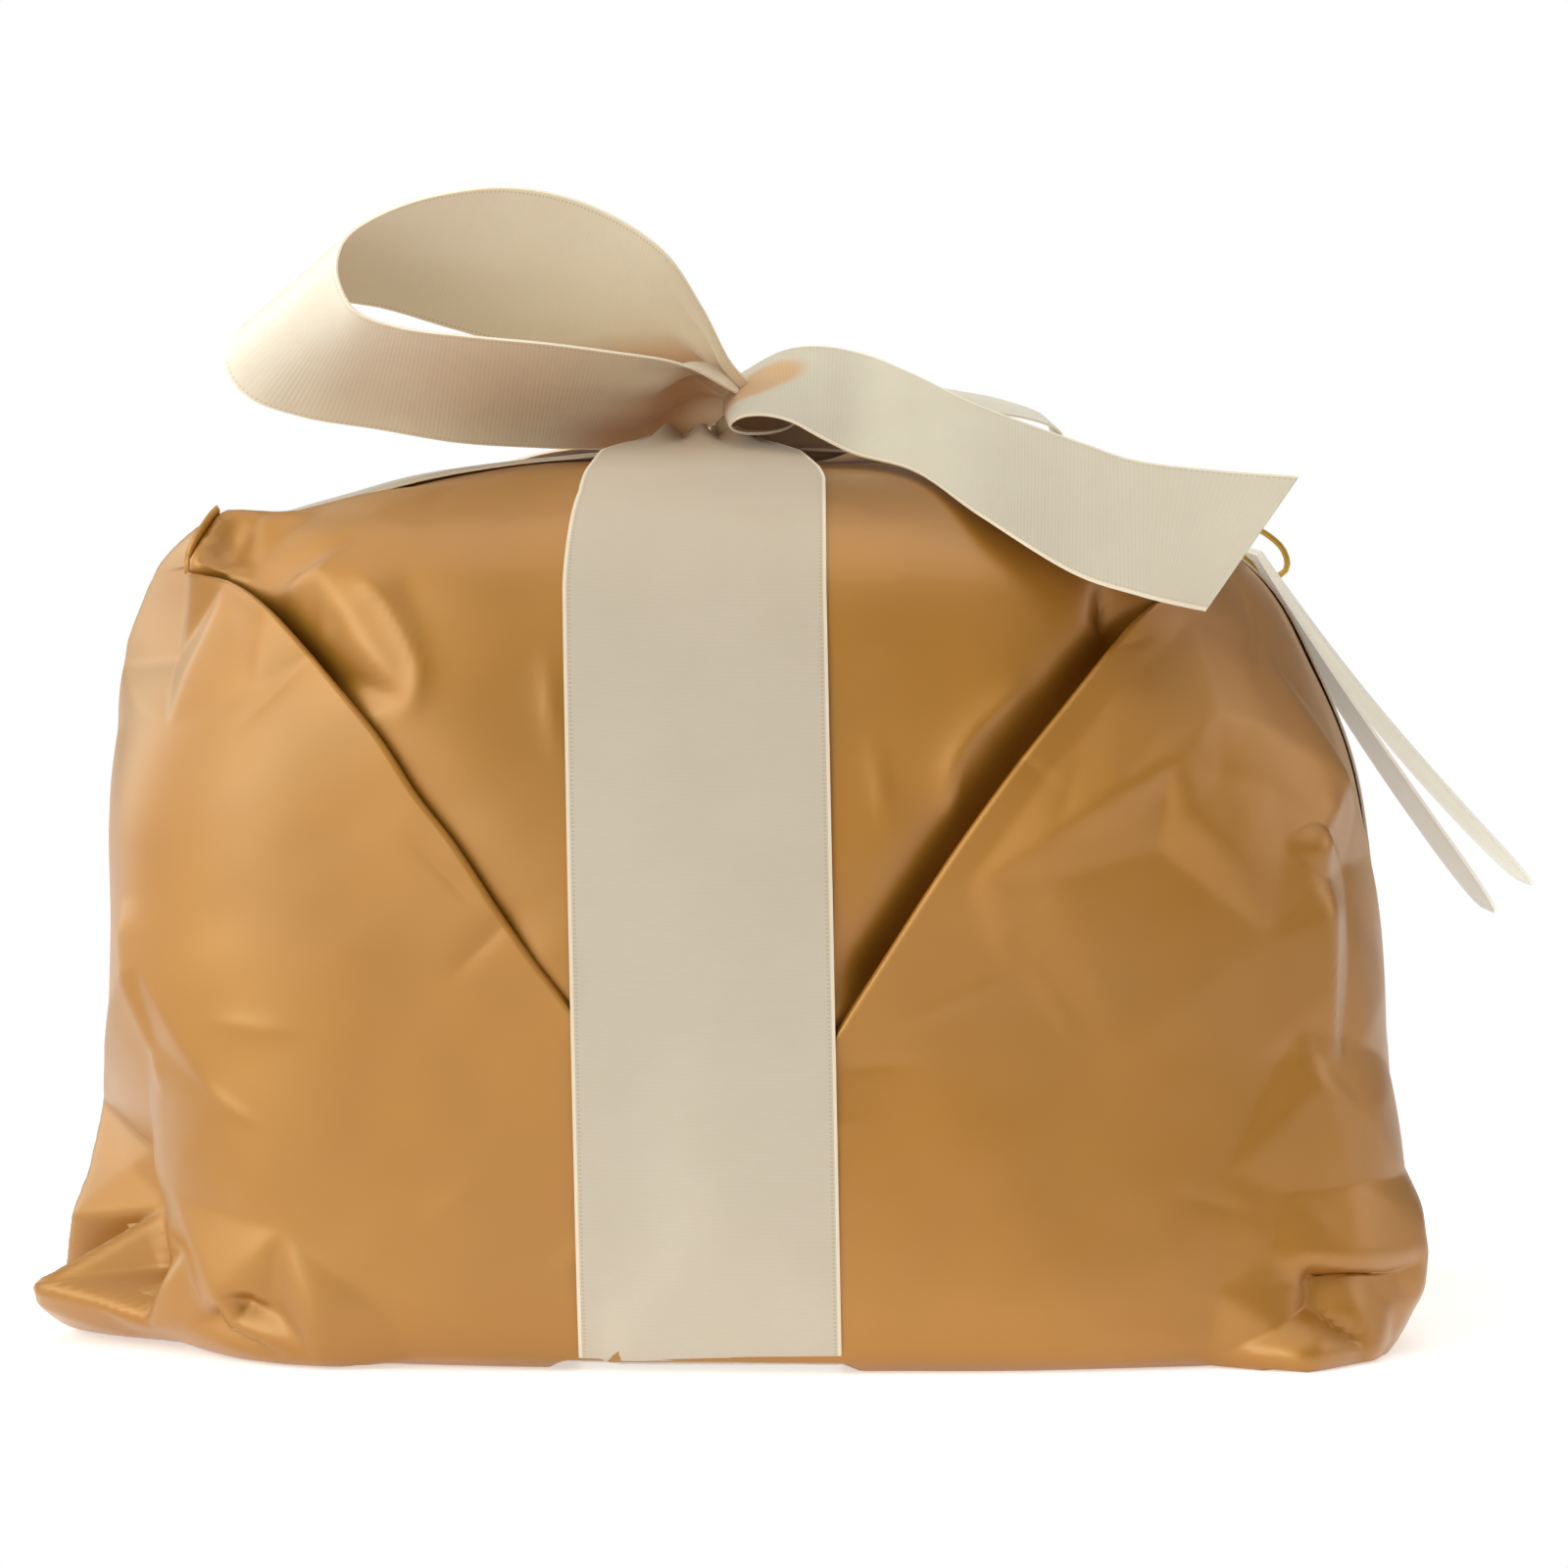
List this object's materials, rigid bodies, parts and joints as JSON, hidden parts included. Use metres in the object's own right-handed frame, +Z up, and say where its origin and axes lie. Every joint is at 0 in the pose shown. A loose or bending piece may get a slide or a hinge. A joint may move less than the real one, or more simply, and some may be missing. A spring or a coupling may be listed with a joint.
{
  "type": "gift-wrapped panettone",
  "caption": "Domed sweet loaf in a baking paper cup and inner bag, folded up in gold film and tied crosswise with wide satin ribbon in a bow with a folded gift tag.",
  "frame": {"origin": "middle of the parcel's box at the plane that it rests on", "axes": "+X to the right as seen from the front, +Z up; the front, where the two side flaps cross in a V, faces -Y"},
  "size_m": [0.242, 0.1982, 0.1817],
  "materials": {
    "crust": "matte",
    "baking_paper": "matte",
    "clear_film": "gloss",
    "gold_wire": "satin",
    "gold_film": "satin",
    "satin_ribbon": "satin",
    "tag_card": "satin",
    "gold_thread": "satin"
  },
  "bodies": {
    "root": {"panettone_loaf": "crust", "baking_paper_cup": "baking_paper", "inner_bag": "clear_film", "bag_tie": "gold_wire", "gold_wrap": "gold_film", "ribbon_front_band": "satin_ribbon", "ribbon_side_band": "satin_ribbon", "ribbon_knot": "satin_ribbon", "bow_loop_left": "satin_ribbon", "bow_loop_right": "satin_ribbon", "ribbon_tail_front": "satin_ribbon", "ribbon_tail_back": "satin_ribbon", "gift_tag": "tag_card", "tag_thread": "gold_thread"}
  },
  "joints": []
}
